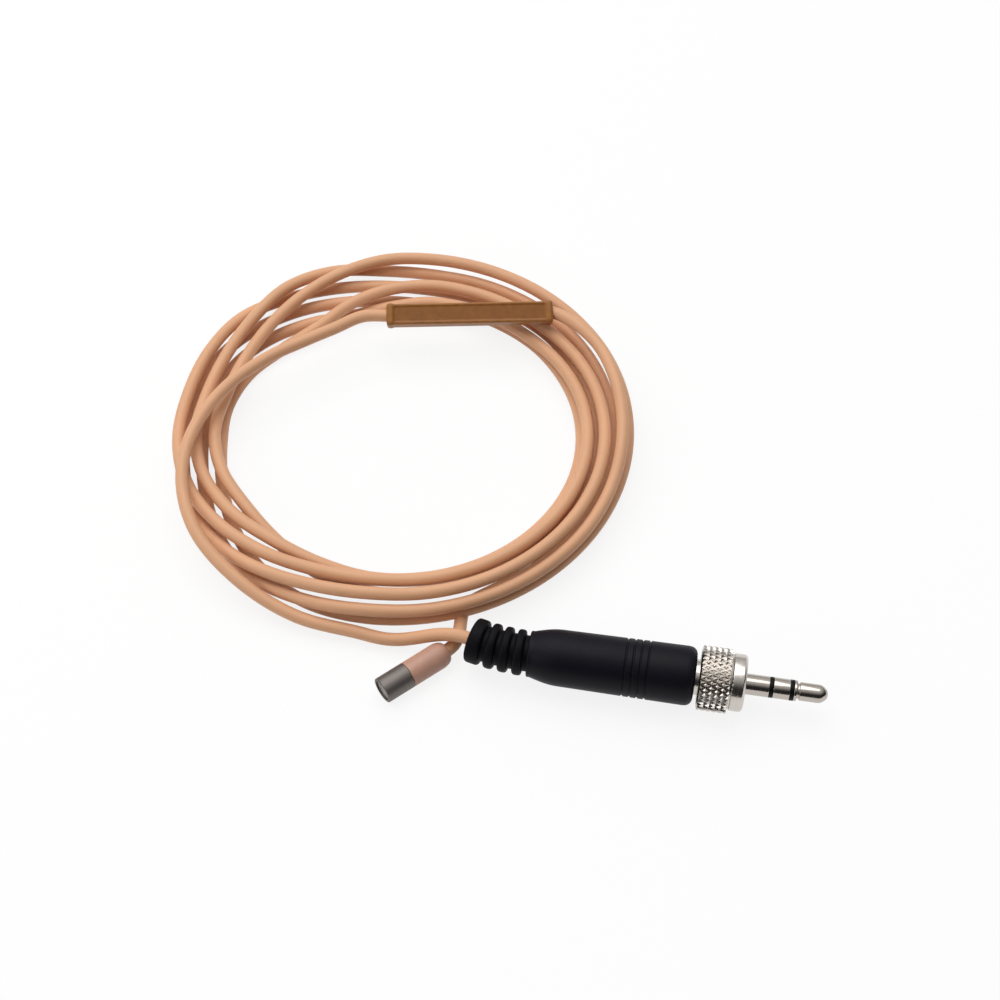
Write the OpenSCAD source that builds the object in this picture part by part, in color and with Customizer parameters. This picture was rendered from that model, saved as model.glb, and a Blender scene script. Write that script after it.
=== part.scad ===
// Miniature beige microphone on a coiled cable, with a screw-locking 3.5 mm plug.
// Millimetres. Z is up, X runs along the plug's pin. The origin is on the table under the microphone.

/* [Microphone head] */
// Outside diameter of the moulded housing
mic_d = 4.6; // [4.2:0.1:6]
// Length of the head from the cap's face to the cable
mic_len = 13.2; // [12:0.1:18]
// Angle of the head on the table, seen from above
mic_angle = 45; // [0:1:90]
// Length of the metal cap
cap_len = 5.2; // [4.4:0.1:6]
// Wall of the metal cap
cap_wall = 0.32; // [0.2:0.02:0.4]
// Rounding of the cap's front edge
cap_edge = 0.2; // [0.05:0.05:0.3]
// Diameter of the sound opening in the cap
port_d = 3.6; // [2:0.1:3.7]
// Length of the housing's rounded shoulder
shoulder_len = 2; // [1:0.1:3]

/* [Capsule] */
// Wall of the sleeve that holds the capsule
spigot_wall = 0.4; // [0.3:0.05:0.5]
// Length of the capsule's can
can_len = 3.4; // [2.8:0.1:3.6]
// Wall of the capsule's can
can_wall = 0.12; // [0.1:0.02:0.2]

/* [Cable] */
// Outside diameter of the cable
cable_d = 2.3; // [1.6:0.1:2.6]
// Diameter of one insulated core
core_d = 0.5; // [0.3:0.05:0.6]

/* [Coil] */
// Number of turns in the coil
coil_turns = 7; // [7:1:7]
// Inner radius of the coil's band
band_in = 31.9; // [31.6:0.1:32]
// How much the band's inner edge swings from far to near
band_in_swing = 4.1; // [4:0.1:4.3]
// Outer radius of the coil's band
band_out = 41.5; // [41.4:0.1:42.5]
// How much the band's outer edge swings towards its ends
band_out_swing = 1.8; // [1.6:0.1:2]
// Height between the lowest and the highest turns where the band is wide
stack_h = 3.5; // [3.5:0.05:3.6]

/* [Cable tag] */
// Length of the tag on the cable
tag_len = 31.4; // [20:0.2:31.6]
// Width of the tag's flat face
tag_w = 4; // [3.6:0.1:5]
// Thickness of the tag
tag_t = 3.2; // [3:0.1:3.6]
// Roll of the tag's face towards the viewer
tag_roll = 28; // [0:1:45]

/* [Plug body] */
// Length of the moulded plug body
body_len = 28; // [26:0.5:34]
// Diameter of the body behind its front edge
body_front_d = 10; // [9.6:0.1:11]
// Diameter of the body where the relief starts
body_rear_d = 7.8; // [7:0.1:9]
// Number of fine grip rings
grip_count = 4; // [0:1:6]
// Length of the ribbed strain relief
relief_len = 10; // [9:0.5:11]
// Diameter over the relief's ribs
relief_d = 7.8; // [6.8:0.1:8]
// Number of ribs on the relief
rib_count = 4; // [2:1:5]
// Bend radius of the relief
relief_bend = 40; // [35:5:90]

/* [Lock nut and pin] */
// Diameter over the nut's knurl
nut_d = 10.8; // [10.4:0.1:12]
// Length of the lock nut
nut_len = 7.7; // [7:0.1:9]
// Length of the nut's knurled band
knurl_len = 4.8; // [3.5:0.1:5.2]
// Number of diamonds round the knurl
knurl_count = 34; // [24:2:40]
// Diameter of the neck that carries the nut
neck_d = 6; // [5.6:0.1:6.4]
// Diameter inside the nut's thread
thread_d = 7.2; // [7:0.1:8]
// Diameter of the plug's pin
pin_d = 3.5; // [3.5:0.1:3.5]
// Length of the pin from the body's front face to its tip
pin_len = 22; // [20:0.5:26]
// Length of the pin's tip contact
tip_len = 5.2; // [4.5:0.1:6]
// Length of the pin's ring contact
ring_len = 2.5; // [2:0.1:3]
// Length of each insulating collar
collar_len = 1.1; // [0.8:0.1:1.4]

/* [Hidden] */
$fn = 48;

// Fits and small gaps
run_fit = 0.03;
slack = 0.05;
eps = 0.01;

// Microphone head, measured from the cap's face along its axis
mic_r = mic_d / 2;
cap_r = mic_r;
cap_bore_r = cap_r - cap_wall;
cap_face_t = 0.25;
port_r = min(port_d / 2, cap_bore_r - 0.15);
screen_t = 0.25;
spigot_r = cap_bore_r - run_fit;
spigot_from = cap_face_t + screen_t + 0.3;
can_r = spigot_r - spigot_wall;
can_from = spigot_from + 0.2;
can_to = can_from + can_len;
chamber_to = cap_len + 3;
cable_r = cable_d / 2;
exit_r = cable_r + 0.05;
exit_drop = mic_r - exit_r;
// Reach of the rounded front edge and of the elliptical shoulder along a 45 degree direction
front_reach = cap_r - cap_edge * (2 - sqrt(2));
rear_reach = mic_len - shoulder_len + exit_r + sqrt(pow(shoulder_len, 2) + pow(exit_drop, 2));
mic_middle = (rear_reach - front_reach) / 2;
mic_dir = [cos(mic_angle), sin(mic_angle), 0];

// Plug: its body's front face is at plug_at, and u runs along the pin from there
nut_r = nut_d / 2;
plug_at = [47, 4.8, nut_r];
body_r = body_front_d / 2;
body_rear_r = body_rear_d / 2;
relief_turn = relief_len / relief_bend * 180 / PI;
neck_r = neck_d / 2;
thread_r = thread_d / 2;
flange_r = thread_r - 0.3;
flange_t = 1;
nut_from = 0.6;
nut_wall = 1.6;
nut_to = nut_from + nut_len;
flange_from = nut_from + nut_wall + 0.3;
flange_to = flange_from + flange_t;
hub_r = neck_r + 0.6;
hub_from = -3;
hub_to = -1;
shell_wall = 0.3;
shell_from = -14;
ferrule_r = cable_r + 0.25;
ferrule_from = shell_from - 3;
pin_r = pin_d / 2;
shank_r = pin_r + 0.35;
tip_from = pin_len - tip_len;
ring_to = tip_from - collar_len;
ring_from = ring_to - ring_len;
sleeve_to = ring_from - collar_len;
// Radii of the nested tubes inside the pin, from the centre outwards
rod_r = 0.45;
rod_tube_r = 0.7;
ring_tube_r = 1;
sleeve_bore_r = 1.3;
// Rear ends of the nested tubes
sleeve_end = -4;
sleeve_tube_end = -5.5;
ring_end = -7;
ring_tube_end = -8.5;
rod_end = -10;
cores_from = shell_from;

// Coil: the band of turns round its centre, with its chart turned to lie beside the plug
coil_at = [-11.3, 52];
coil_rotation = 9;
coil_from = -67.5;
coil_to = 262.5;
rings_per_turn = 24;
// Places that a turn moves back along the band's outline on each lap, and the share it starts at
places_per_turn = 5;
first_share = 0.01;
// How much of that move is made at the far left; the rest is made at the near left
far_share = 0.47;
ring_step = 360 / rings_per_turn;
coil_rings = (coil_turns - 1) * rings_per_turn + (coil_to - coil_from) / ring_step + 1;
// Where the band is narrower than this the turns pile up higher
full_width = 10.5;
pile_rate = 0.72;
// The last turn carries the tag along a straight chord above the others
tag_chord = 20.5;
tag_lean = 1.6;
tag_from_a = 37.5;
tag_to_a = 112.5;
tag_h = 8.6;
tag_along = 12.43;
// How far the cable's end stands out from the band and up from the floor
end_clear = 2.6;
end_h = 1;

// A smooth step from 0 at a to 1 at b
function ease(x, a, b) = let (t = min(max((x - a) / (b - a), 0), 1)) t * t * (3 - 2 * t);
function mix(a, b, t) = a + (b - a) * t;

// Edges and height of the band at a chart angle
function inner_edge(a) = band_in - band_in_swing * cos(a - 95);
function outer_edge(a) = band_out + band_out_swing * cos(a - 262);
function pile_h(w) = stack_h + pile_rate * max(full_width - w, 0);

// A place on the band's round-ended outline: in along the floor, up, out along the top and down again
function outline_place(s, inner, outer, h) =
    let (q = h / 2)
    let (flat = outer - inner - h)
    let (bend = PI * q)
    s < flat ? [outer - q - s, 0]
    : s < flat + bend ? let (t = (s - flat) / bend * 180) [inner + q - q * sin(t), q - q * cos(t)]
    : s < 2 * flat + bend ? [inner + q + s - flat - bend, h]
    : let (t = (s - 2 * flat - bend) / bend * 180) [outer - q + q * sin(t), q + q * cos(t)];
function band_place(u, a) =
    let (inner = inner_edge(a))
    let (outer = outer_edge(a))
    let (h = pile_h(outer - inner))
    outline_place((u - floor(u)) * (2 * (outer - inner - h) + PI * h), inner, outer, h);

// The tagged turn leaves its place for the chord, then crosses over the others to the cable's end outside them
tag_mid_a = (tag_from_a + tag_to_a) / 2;
chord_h = tag_h - cable_r;
function chord_r(a) = tag_chord / sin(min(max(a, tag_from_a), tag_to_a) - tag_lean);
function last_turn(p, a) = a < tag_mid_a
    ? [mix(p[0], chord_r(a), ease(a, 22.5, tag_from_a)), mix(p[1], chord_h, ease(a, -35, 10))]
    : [mix(chord_r(a), outer_edge(a) + end_clear, ease(a, 125, 225)),
        mix(chord_h, end_h, ease(a, 200, 258))];

// Share of a lap's change of place that is made by a chart angle
function lap_share(a) = far_share * ease(a, 78, 172) + (1 - far_share) * ease(a, 185, 268);
function coil_place(i) =
    let (turn = floor(i / rings_per_turn))
    let (a = coil_from + ring_step * (i - turn * rings_per_turn))
    let (p = band_place(first_share - places_per_turn / coil_turns * (turn + lap_share(a)), a))
    let (q = turn == coil_turns - 1 ? last_turn(p, a) : p)
    [q[0], a + coil_rotation, cable_r + q[1]];
function coil_ring(i) =
    let (q = coil_place(i))
    [coil_at[0] + q[0] * cos(q[1]), coil_at[1] + q[0] * sin(q[1]), q[2]];

function unit(v) = v / norm(v);
coil_line = [for (i = [0 : coil_rings - 1]) coil_ring(i)];
coil_start_dir = unit(coil_line[1] - coil_line[0]);
coil_end_dir = unit(coil_line[coil_rings - 1] - coil_line[coil_rings - 2]);
coil_start = coil_line[0] - cable_d * coil_start_dir;
coil_end = coil_line[coil_rings - 1] + cable_d * coil_end_dir;
coil_route = concat([coil_start], coil_line, [coil_end]);

// Least gap between the coil's turns, measured on quarter points of every stretch
coil_points = [for (i = [0 : coil_rings - 2]) for (k = [0 : 3]) mix(coil_line[i], coil_line[i + 1], k / 4)];
half_turn = rings_per_turn * 2;
coil_gap = min([for (i = [0 : len(coil_points) - 1])
    for (j = [i + half_turn : 1 : len(coil_points) - 1])
        norm(coil_points[i] - coil_points[j])]) - cable_d;
echo(coil_least_gap = coil_gap);

// Free stretches, with their ends taken from what they meet
mic_exit = mic_dir * (mic_len - mic_middle) + [0, 0, mic_r];
relief_end = plug_at + [-body_len - relief_bend * sin(relief_turn), relief_bend * (1 - cos(relief_turn)), 0];
relief_dir = [cos(relief_turn), -sin(relief_turn), 0];
mic_tail_route = [mic_exit, mic_exit + cable_d * mic_dir, coil_start - cable_d * coil_start_dir, coil_start];
plug_tail_route = [coil_end, coil_end + cable_d * coil_end_dir, relief_end - cable_d * relief_dir, relief_end];

// Direction of a route at one of its points
function heading(route, i) =
    i == 0 ? unit(route[1] - route[0])
    : i == len(route) - 1 ? unit(route[i] - route[i - 1])
    : unit(unit(route[i] - route[i - 1]) + unit(route[i + 1] - route[i]));
function ring_of(p, dir, r, sides) =
    let (across = unit(cross([0, 0, 1], dir)))
    let (up = cross(dir, across))
    [for (k = [0 : sides - 1]) p + r * (cos(360 * k / sides) * across + sin(360 * k / sides) * up)];

// A closed tube along a route, with a flat face square to each end
module tube(route, r, sides) {
    n = len(route);
    points = [for (i = [0 : n - 1]) each ring_of(route[i], heading(route, i), r, sides)];
    walls = [for (i = [0 : n - 2]) for (k = [0 : sides - 1])
        let (a = i * sides + k)
        let (b = i * sides + (k + 1) % sides)
        each [[a, a + sides, b], [b, a + sides, b + sides]]];
    first = [for (k = [1 : sides - 2]) [0, k, k + 1]];
    last = [for (k = [1 : sides - 2]) [(n - 1) * sides, (n - 1) * sides + k + 1, (n - 1) * sides + k]];
    polyhedron(points, concat(walls, first, last));
}

// Lays a piece built along Z on the microphone's axis, from the cap's face
module along_mic() {
    translate([-mic_middle * mic_dir[0], -mic_middle * mic_dir[1], mic_r])
        rotate([0, 90, mic_angle])
            children();
}

// Lays a piece built along Z on the plug's axis
module along_plug() {
    translate(plug_at)
        rotate([0, 90, 0])
            children();
}

module rod(from, to, r) {
    translate([0, 0, from])
        cylinder(r = r, h = to - from);
}

module pipe(from, to, r, bore) {
    difference() {
        rod(from, to, r);
        rod(from - eps, to + eps, bore);
    }
}

// Metal cap: a drawn cup with a rounded front edge and a sound opening, pushed onto the spigot
module mic_cap() {
    color([0.45, 0.45, 0.45])
        along_mic()
            rotate_extrude()
                difference() {
                    union() {
                        translate([0, cap_edge])
                            square([cap_r, cap_len - cap_edge]);
                        square([cap_r - cap_edge, cap_len]);
                        translate([cap_r - cap_edge, cap_edge])
                            circle(r = cap_edge);
                    }
                    translate([-eps, cap_face_t])
                        square([cap_bore_r + eps, cap_len]);
                    translate([-eps, -eps])
                        square([port_r + eps, cap_len]);
                    translate([-cap_r * 2, -eps])
                        square([cap_r * 2, cap_len + 2 * eps]);
                }
}

// Woven screen behind the cap's opening
module cap_screen() {
    color([0.3, 0.3, 0.3])
        along_mic()
            rod(cap_face_t, cap_face_t + screen_t, cap_bore_r);
}

// Moulded housing: a straight barrel, an elliptical shoulder and the spigot under the cap
module mic_housing() {
    color([0.78, 0.56, 0.46])
        along_mic()
            difference() {
                union() {
                    rod(cap_len + slack, mic_len - shoulder_len, mic_r);
                    rod(spigot_from, cap_len + 2 * slack, spigot_r);
                    rotate_extrude()
                        housing_shoulder();
                }
                rod(spigot_from - eps, chamber_to, can_r);
                rod(chamber_to - eps, mic_len + eps, cable_r);
            }
}

// Half outline of the shoulder, a quarter ellipse from the barrel to the cable's exit
module housing_shoulder() {
    steps = 10;
    polygon(concat([[0, mic_len - shoulder_len - eps]],
        [for (k = [0 : steps])
            [exit_r + exit_drop * cos(90 * k / steps), mic_len - shoulder_len + shoulder_len * sin(90 * k / steps)]],
        [[0, mic_len]]));
}

// Capsule can: a thin cup with a small hole in its face
module capsule_can() {
    color([0.75, 0.75, 0.72])
        along_mic()
            difference() {
                rod(can_from, can_to, can_r);
                rod(can_from + can_wall, can_to + eps, can_r - can_wall);
                rod(can_from - eps, can_to, can_r / 3);
            }
}

ring_t = 0.3;
film_t = 0.06;
plate_t = 0.5;
board_t = 0.5;
stack_r = can_r - can_wall;
ring_at = can_from + can_wall;

// Ring that stretches the diaphragm inside the can's face
module diaphragm_ring() {
    color([0.7, 0.6, 0.35])
        along_mic()
            pipe(ring_at, ring_at + ring_t, stack_r, stack_r * 0.75);
}

// Metal-coated film
module diaphragm() {
    color([0.85, 0.8, 0.6])
        along_mic()
            rod(ring_at + ring_t, ring_at + ring_t + film_t, stack_r);
}

// Perforated back plate behind the film
module back_plate() {
    plate_from = can_to - board_t - plate_t;
    color([0.7, 0.6, 0.35])
        along_mic()
            difference() {
                rod(ring_at + ring_t + film_t, plate_from + plate_t, stack_r);
                for (a = [0 : 90 : 270])
                    rotate([0, 0, a])
                        translate([stack_r / 2, 0, 0])
                            rod(ring_at, can_to, stack_r / 6);
            }
}

// Small round board that closes the can
module capsule_board() {
    color([0.2, 0.4, 0.25])
        along_mic()
            rod(can_to - board_t, can_to, stack_r);
}

// Two cores from the board to the end of the cable
module mic_cores() {
    color([0.8, 0.2, 0.15])
        along_mic()
            for (side = [-1, 1])
                translate([0, side * core_d * 0.7, 0])
                    rod(can_to, chamber_to, core_d / 2);
}

// End of the cable inside the housing
module mic_cable_end() {
    color([0.84, 0.6, 0.42])
        along_mic()
            rod(chamber_to, mic_len, cable_r);
}

// Cable from the housing to the coil
module mic_tail() {
    color([0.84, 0.6, 0.42])
        tube(mic_tail_route, cable_r, 8);
}

// Loose coil: one unbroken tube whose turns change places on every lap
module coil() {
    color([0.84, 0.6, 0.42])
        tube(coil_route, cable_r, 6);
}

// Cable from the coil to the plug's relief
module plug_tail() {
    color([0.84, 0.6, 0.42])
        tube(plug_tail_route, cable_r, 8);
}

tag_rim = 0.5;
tag_recess = 0.3;
tag_flange = 1.2;
tag_flange_proud = 0.15;
tag_corner = 0.4;

module tag_bar(length, w, t) {
    translate([-length / 2, -w / 2 + tag_corner, -t / 2])
        cube([length, w - 2 * tag_corner, t]);
    translate([-length / 2, -w / 2, -t / 2 + tag_corner])
        cube([length, w, t - 2 * tag_corner]);
    for (y = [-1, 1], z = [-1, 1])
        translate([-length / 2, y * (w / 2 - tag_corner), z * (t / 2 - tag_corner)])
            rotate([0, 90, 0])
                cylinder(r = tag_corner, h = length);
}

// Moulded tag on the straight chord: end flanges and a raised rim round a bare sunk face
module cable_tag() {
    color([0.62, 0.42, 0.22])
        translate([coil_at[0], coil_at[1], tag_h])
            rotate([0, 0, coil_rotation + tag_lean])
                translate([tag_along, tag_chord, 0])
                    rotate([tag_roll, 0, 0])
                        difference() {
                            union() {
                                tag_bar(tag_len, tag_w, tag_t);
                                for (end = [-1, 1])
                                    translate([end * (tag_len - tag_flange) / 2, 0, 0])
                                        tag_bar(tag_flange, tag_w + 2 * tag_flange_proud, tag_t + 2 * tag_flange_proud);
                            }
                            translate([-tag_len / 2 + tag_flange, -tag_w / 2 + tag_rim, tag_t / 2 - tag_recess])
                                cube([tag_len - 2 * tag_flange, tag_w - 2 * tag_rim, tag_recess + 1]);
                            translate([-tag_len / 2 - eps, 0, 0])
                                rotate([0, 90, 0])
                                    cylinder(r = cable_r + slack, h = tag_len + 2 * eps);
                        }
}

// A stretch of round bar along the relief's bend, between two shares of its length
module bent_bar(from, to, r) {
    translate([plug_at[0] - body_len, plug_at[1] + relief_bend, plug_at[2]])
        rotate([0, 0, -90 - relief_turn * to])
            rotate_extrude(angle = relief_turn * (to - from))
                translate([relief_bend, 0])
                    circle(r = r);
}

relief_core_r = relief_d / 2 - 0.85;
rib_share = 0.66;
rear_rib_extra = 0.35;
rib_lip = 0.14;

// Ribbed strain relief, bent a little where the cable pulls it
module plug_relief() {
    pitch = 1 / (rib_count + rear_rib_extra);
    color([0.1, 0.1, 0.12])
        difference() {
            union() {
                bent_bar(0, 1, relief_core_r);
                for (k = [0 : rib_count - 1]) {
                    from = 1 - pitch * (k + rear_rib_extra + rib_share);
                    to = 1 - pitch * (k == 0 ? 0 : k + rear_rib_extra);
                    bent_bar(from, to, relief_d / 2 - 0.25);
                    bent_bar(from + rib_lip * pitch, to - rib_lip * pitch, relief_d / 2);
                }
            }
            bent_bar(-eps, 1 + eps, cable_r);
        }
}

body_edge = 1.6;
body_swell_len = 5.5;
body_mid_r = body_rear_r + (body_r - body_rear_r) * 0.8;
grip_from = -11.9;
grip_pitch = 1.25;
grip_w = 0.35;
grip_r = body_r - 0.3;

// Moulded plug body: flared barrel with a rounded front edge and fine grip rings
module plug_body() {
    color([0.1, 0.1, 0.12])
        along_plug()
            difference() {
                rotate_extrude()
                    polygon(concat(
                        [[0, -body_len], [body_rear_r, -body_len]],
                        [for (k = [0 : 6])
                            [body_rear_r + (body_mid_r - body_rear_r) * sin(15 * k),
                             -body_len + 0.6 + (body_swell_len - 0.6) * k / 6]],
                        [for (k = [0 : 6])
                            [body_r - body_edge + body_edge * cos(15 * k), -body_edge + body_edge * sin(15 * k)]],
                        [[0, 0]]));
                for (k = [0 : 1 : grip_count - 1])
                    translate([0, 0, grip_from + grip_pitch * k])
                        rotate_extrude()
                            translate([grip_r, 0])
                                square([1, grip_w]);
                rod(shell_from, hub_to, hub_r);
                rod(hub_to - eps, eps, neck_r);
                rod(ferrule_from, shell_from + eps, ferrule_r);
                rod(-body_len - eps, ferrule_from + eps, cable_r);
            }
}

// End of the cable inside the relief and the body
module plug_cable_end() {
    color([0.84, 0.6, 0.42]) {
        bent_bar(0, 1, cable_r);
        along_plug()
            rod(-body_len, cores_from, cable_r);
    }
}

// Ferrule crimped over the cable behind the shell
module crimp_ferrule() {
    color([0.75, 0.65, 0.4])
        along_plug()
            pipe(ferrule_from, shell_from, ferrule_r, cable_r);
}

// Two cores from the cable to the pin's terminals
module plug_cores() {
    color([0.8, 0.2, 0.15])
        along_plug() {
            rod(cores_from, rod_end, core_d / 2);
            translate([0, ring_core_y, 0])
                rod(cores_from, ring_end - solder_ring_t, core_d / 2);
        }
}

// Screening shell round the terminals, closed by an end wall at the ferrule
module shield_shell() {
    color([0.75, 0.65, 0.4])
        along_plug()
            difference() {
                rod(shell_from, hub_from, hub_r);
                rod(shell_from + shell_wall, hub_from + eps, hub_r - shell_wall);
                rod(shell_from - eps, hub_from, ferrule_r);
            }
}

// Turned neck: a hub held in the moulding, the nut's journal and the flange that keeps the nut on
module neck() {
    color([0.8, 0.8, 0.78])
        along_plug()
            difference() {
                union() {
                    rod(hub_from, hub_to, hub_r);
                    rod(hub_to - eps, flange_to, neck_r);
                    rod(flange_from, flange_to, flange_r);
                }
                rod(hub_from - eps, flange_to + eps, shank_r);
            }
}

knurl_depth = 0.45;
knurl_from = nut_from + 0.25;
knurl_to = knurl_from + knurl_len;
knurl_steps = 2 * round(0.8 * knurl_len * knurl_count / (PI * nut_d));
rim_r = nut_r - 0.6;
rim_chamfer = 0.5;
root_r = nut_r - knurl_depth;

// Diamond points round a cylinder: peaks and pits alternate along and round the band
module knurl_band() {
    around = 2 * knurl_count;
    points = concat(
        [for (j = [0 : knurl_steps]) for (i = [0 : around - 1])
            let (edge = j == 0 || j == knurl_steps)
            let (r = edge || (i + j) % 2 == 0 ? root_r : nut_r)
            [r * cos(360 * i / around), r * sin(360 * i / around), knurl_from + knurl_len * j / knurl_steps]],
        [[0, 0, knurl_from], [0, 0, knurl_to]]);
    low = around * (knurl_steps + 1);
    walls = [for (j = [0 : knurl_steps - 1]) for (i = [0 : around - 1])
        let (a = j * around + i)
        let (b = j * around + (i + 1) % around)
        let (c = a + around)
        let (d = b + around)
        each (i + j) % 2 == 0 ? [[a, c, b], [b, c, d]] : [[a, d, b], [a, c, d]]];
    ends = [for (i = [0 : around - 1])
        let (k = (i + 1) % around)
        each [[low, i, k], [low + 1, knurl_steps * around + k, knurl_steps * around + i]]];
    polyhedron(points, concat(walls, ends));
}

// Captive lock nut: knurled band, plain front rim, journal bore and threaded mouth
module lock_nut() {
    color([0.8, 0.8, 0.78])
        along_plug()
            difference() {
                union() {
                    knurl_band();
                    rotate_extrude()
                        polygon([[0, nut_from], [root_r - 0.5, nut_from], [root_r - eps, knurl_from],
                            [root_r - 0.5, knurl_from + 0.5], [root_r - 0.5, knurl_to],
                            [rim_r, knurl_to + 0.3], [rim_r, nut_to - rim_chamfer],
                            [rim_r - rim_chamfer, nut_to], [0, nut_to]]);
                }
                rod(nut_from - eps, nut_to, neck_r + run_fit);
                rod(nut_from + nut_wall, nut_to + eps, thread_r);
            }
}

// Grounded sleeve of the pin, with a thicker shank pressed through the neck
module pin_sleeve() {
    color([0.82, 0.82, 0.8])
        along_plug()
            difference() {
                union() {
                    rod(sleeve_end, flange_to, shank_r);
                    rod(sleeve_end, sleeve_to, pin_r);
                }
                rod(sleeve_end - eps, sleeve_to + eps, sleeve_bore_r);
            }
}

// A collar on the pin with its tube running back inside the next piece
module collared_tube(from, step, to, tube_r, bore) {
    difference() {
        union() {
            rod(from, to, tube_r);
            rod(step, to, pin_r);
        }
        rod(from - eps, to + eps, bore);
    }
}

module sleeve_insulator() {
    color([0.08, 0.08, 0.08])
        along_plug()
            collared_tube(sleeve_tube_end, sleeve_to, ring_from, sleeve_bore_r, ring_tube_r);
}

module pin_ring() {
    color([0.82, 0.82, 0.8])
        along_plug()
            collared_tube(ring_end, ring_from, ring_to, ring_tube_r, rod_tube_r);
}

module ring_insulator() {
    color([0.08, 0.08, 0.08])
        along_plug()
            collared_tube(ring_tube_end, ring_to, tip_from, rod_tube_r, rod_r);
}

tip_neck_r = pin_r - 0.2;
tip_groove_r = pin_r - 0.4;
tip_ball_r = pin_r - 0.25;

// Tip contact on its rod: a straight part, a groove for the socket's spring and a rounded nose
module pin_tip() {
    color([0.82, 0.82, 0.8])
        along_plug() {
            rod(rod_end, tip_from + eps, rod_r);
            rotate_extrude()
                polygon([[0, tip_from], [tip_neck_r, tip_from], [tip_neck_r, pin_len - 1.9],
                    [tip_groove_r, pin_len - 1.6], [tip_ball_r, pin_len - 1.2],
                    [tip_ball_r - 0.15, pin_len - 0.7], [tip_ball_r - 0.5, pin_len - 0.25],
                    [tip_ball_r - 1.1, pin_len], [0, pin_len]]);
        }
}

solder_ring_t = 0.4;
cup_wall = 0.2;
cup_len = 1.2;
ring_core_y = rod_r + cup_wall + core_d / 2 + slack;

// Solder ring behind the ring contact
module ring_terminal() {
    color([0.75, 0.65, 0.4])
        along_plug()
            pipe(ring_end - solder_ring_t, ring_end, ring_tube_r + core_d, rod_tube_r);
}

// Solder cup on the end of the tip's rod
module tip_terminal() {
    color([0.75, 0.65, 0.4])
        along_plug()
            pipe(rod_end, rod_end + cup_len, rod_r + cup_wall, rod_r);
}

mic_cap();
cap_screen();
mic_housing();
capsule_can();
diaphragm();
diaphragm_ring();
back_plate();
capsule_board();
mic_cores();
mic_cable_end();
mic_tail();
coil();
cable_tag();
plug_tail();
plug_relief();
plug_body();
plug_cable_end();
crimp_ferrule();
plug_cores();
shield_shell();
neck();
lock_nut();
pin_sleeve();
sleeve_insulator();
pin_ring();
ring_insulator();
pin_tip();
ring_terminal();
tip_terminal();
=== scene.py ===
import bmesh
import bpy
import numpy as np
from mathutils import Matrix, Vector


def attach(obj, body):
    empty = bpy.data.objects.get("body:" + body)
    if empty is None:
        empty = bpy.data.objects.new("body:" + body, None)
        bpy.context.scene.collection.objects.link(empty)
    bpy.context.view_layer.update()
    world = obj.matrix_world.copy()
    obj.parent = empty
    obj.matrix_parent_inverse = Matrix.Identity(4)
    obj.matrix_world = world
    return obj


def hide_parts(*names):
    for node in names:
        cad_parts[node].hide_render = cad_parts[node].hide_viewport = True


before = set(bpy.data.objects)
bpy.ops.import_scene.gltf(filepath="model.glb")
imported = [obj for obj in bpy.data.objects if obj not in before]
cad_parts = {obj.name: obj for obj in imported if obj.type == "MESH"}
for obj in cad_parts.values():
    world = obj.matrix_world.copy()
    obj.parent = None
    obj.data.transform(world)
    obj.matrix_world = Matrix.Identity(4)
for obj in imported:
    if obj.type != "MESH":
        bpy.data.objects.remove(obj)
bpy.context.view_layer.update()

# Camera: a long lens that looks down on the table from 55 degrees above it, almost square to the plug.
# The picture is 1000 by 1000, and its middle lies inside the coil on the plug's side.
CAMERA_AT = (0.0388, -0.1489, 0.2703)
CAMERA_AIM = (0.00865, 0.03891, 0.0)
CAMERA_NEAR = 0.01
LENS_MM = 65.6
SENSOR_MM = 36.0


def hang(holder, at, aim):
    """Puts a camera or a lamp in its place, turned to face a point, with its top up."""
    holder.location = at
    holder.rotation_mode = "QUATERNION"
    holder.rotation_quaternion = (Vector(aim) - Vector(at)).to_track_quat("-Z", "Y")
    bpy.context.scene.collection.objects.link(holder)


camera = bpy.data.objects.new("camera", bpy.data.cameras.new("camera"))
camera.data.lens = LENS_MM
camera.data.sensor_width = SENSOR_MM
camera.data.clip_start = CAMERA_NEAR
hang(camera, CAMERA_AT, CAMERA_AIM)
bpy.context.scene.camera = camera
bpy.context.scene.view_settings.view_transform = "Standard"

# Cable: a satin jacket extruded over fine screened cores, limp enough to keep the loose coil it was
# wound in. It leaves the microphone's shoulder, makes seven turns that change places, and ends in the plug.
CABLE_D = 0.0023
CABLE_R = CABLE_D / 2
CABLE_COLOUR = (0.715, 0.39, 0.22)
CABLE_SIDES = 18
CABLE_STEP = 0.0008
CURVE_STEPS = 24
TAIL_POINTS = 10
TAIL_EASE = 1.2

COIL_AT = np.array([-0.0113, 0.052])
COIL_ROTATION = 9.0
COIL_FROM = -67.5
COIL_TO = 262.5
COIL_TURNS = 7
RINGS_PER_TURN = 24
PLACES_PER_TURN = 5
FIRST_SHARE = 0.01
FAR_SHARE = 0.47
FAR_MOVE = (78.0, 172.0)
NEAR_MOVE = (185.0, 268.0)
BAND_IN = 0.0319
BAND_IN_SWING = 0.0041
BAND_IN_AT = 95.0
BAND_OUT = 0.0415
BAND_OUT_SWING = 0.0018
BAND_OUT_AT = 262.0
STACK_H = 0.0035
FULL_WIDTH = 0.0105
PILE_RATE = 0.72

TAG_CHORD = 0.0205
TAG_LEAN = 1.6
TAG_FROM_A = 37.5
TAG_TO_A = 112.5
TAG_H = 0.0086
TAG_RISE = (-35.0, 10.0)
TAG_TURN_IN = (22.5, TAG_FROM_A)
TAG_TURN_OUT = (125.0, 225.0)
TAG_FALL = (200.0, 258.0)
END_CLEAR = 0.0026
END_H = 0.001

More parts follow.
